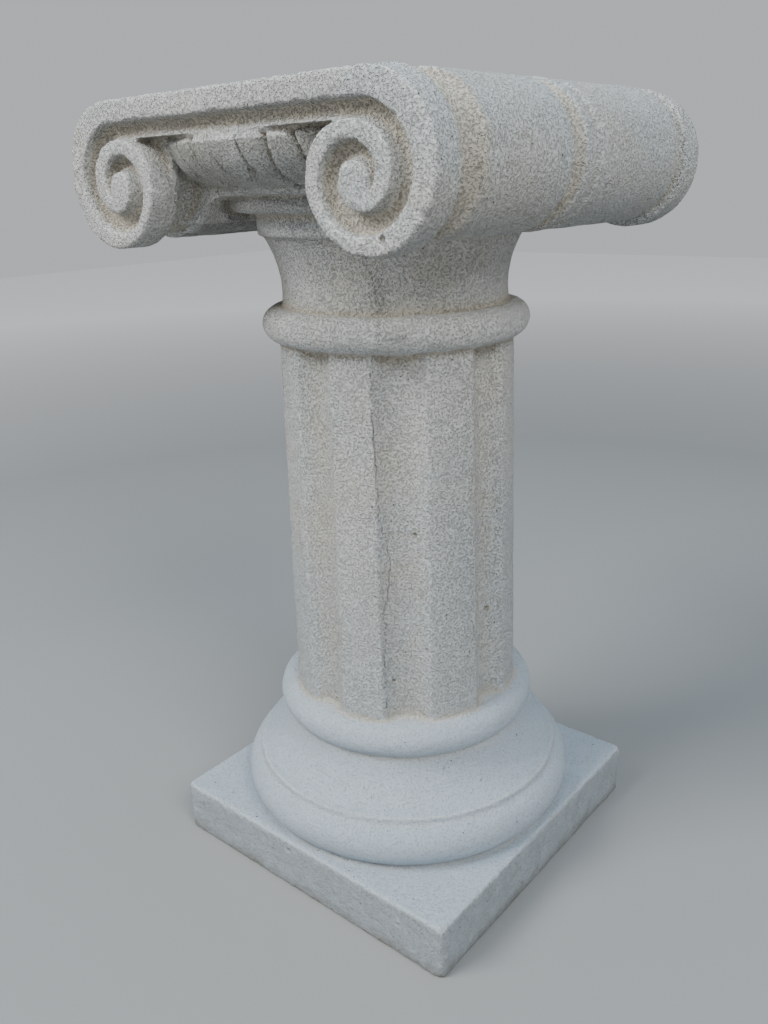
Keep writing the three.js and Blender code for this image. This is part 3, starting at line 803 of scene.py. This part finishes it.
# %% Relief too fine for the mesh
sand = maths("ADD", times(pitted, 0.5), times(grain(330, 3, 0.65), 0.9))
sand = times(sand, maths("MAXIMUM", spread(level, 0.186, 0.2, 0.4, 1.3), times(marked("coarse"), 2)))
relief = maths("SUBTRACT", sand, times(dark, 0.8))
bump = node("ShaderNodeBump", {"Height": relief, "Strength": 1.0, "Distance": 0.0024})
tree.links.new(bump.outputs["Normal"], shader.inputs["Normal"])
pedestal.data.materials.append(stone_look)
print("material nodes:", len(tree.nodes))

# %% [markdown]
# The casting stands still, so it rides on the root body, and it takes the place of the plain solid.

# %% Set the piece on its body
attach(pedestal, "root")
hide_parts("ionic_pedestal")

# %% [markdown]
# The setting is a plain pale floor. Two large soft lights stand high in front, a cooler one hangs overhead,
# and a pale band at the horizon serves as the backdrop. Undersides stay dark, as they do under an open sky,
# and the capital's undersides are painted darker as well: painted shade.

# %% Floor and light
FLOOR_WIDTH = 14  # metres
clear()
bpy.ops.mesh.primitive_plane_add(size=FLOOR_WIDTH)
floor = bpy.context.object
floor.name = "floor"
floor_look = bpy.data.materials.new("floor_pale")
floor_look.use_nodes = True
tree = floor_look.node_tree
floor_shader = tree.nodes["Principled BSDF"]
floor_shader.inputs["Base Color"].default_value = (0.34, 0.34, 0.34, 1)
floor_shader.inputs["Roughness"].default_value = 0.9
floor_shader.inputs["Emission Color"].default_value = (0.95, 0.97, 1, 1)
floor_place = tree.nodes.new("ShaderNodeTexCoord").outputs["Object"]
away = node("ShaderNodeVectorMath", {0: floor_place}, operation="LENGTH")
tree.links.new(spread(away.outputs["Value"], 1.6, 4.6, 0, 0.54), floor_shader.inputs["Emission Strength"])
floor.data.materials.append(floor_look)

world = bpy.data.worlds.new("pale_horizon")
bpy.context.scene.world = world
world.use_nodes = True
tree = world.node_tree
way = tree.nodes.new("ShaderNodeTexCoord").outputs["Generated"]
rise = node("ShaderNodeSeparateXYZ", {"Vector": way}).outputs["Z"]
tree.links.new(spread(rise, 0.16, 0.32, 0.55, 0.05), tree.nodes["Background"].inputs["Strength"])
tree.nodes["Background"].inputs["Color"].default_value = (0.95, 0.97, 1, 1)


def soft_light(name, place, size, power, tint):
    bpy.ops.object.light_add(type="AREA", location=place)
    lamp = bpy.context.object
    lamp.name = name
    lamp.data.size = size
    lamp.data.energy = power
    lamp.data.color = tint
    lamp.rotation_euler = (Vector((0, 0, 0.4)) - Vector(place)).to_track_quat("-Z", "Y").to_euler()


soft_light("front_left", (-1.5, -3.1, 3.6), 2.1, 222, (0.975, 1, 0.985))
soft_light("front_right", (3.2, -1.45, 3.4), 2.1, 140, (0.975, 1, 0.985))
soft_light("overhead", (0.1, 0.2, 3.0), 2.4, 42, (0.55, 0.78, 1))
print("lights set")

# %% [markdown]
# The camera stands off the right front corner, a little under the top's height, and looks down at the
# pedestal. Its place, turn and lens were worked out from the plinth's corners and the round mouldings.

# %% Camera
CAMERA_PLACE = (0.5483, -0.6747, 0.6828)
CAMERA_DEGREES = (69.829, 1.84, 39.584)
bpy.ops.object.camera_add(location=CAMERA_PLACE, rotation=[math.radians(v) for v in CAMERA_DEGREES])
camera = bpy.context.object
camera.data.lens = 31.79
camera.data.sensor_width = 36
camera.data.clip_start = 0.01
bpy.context.scene.camera = camera
print("camera lens:", camera.data.lens)
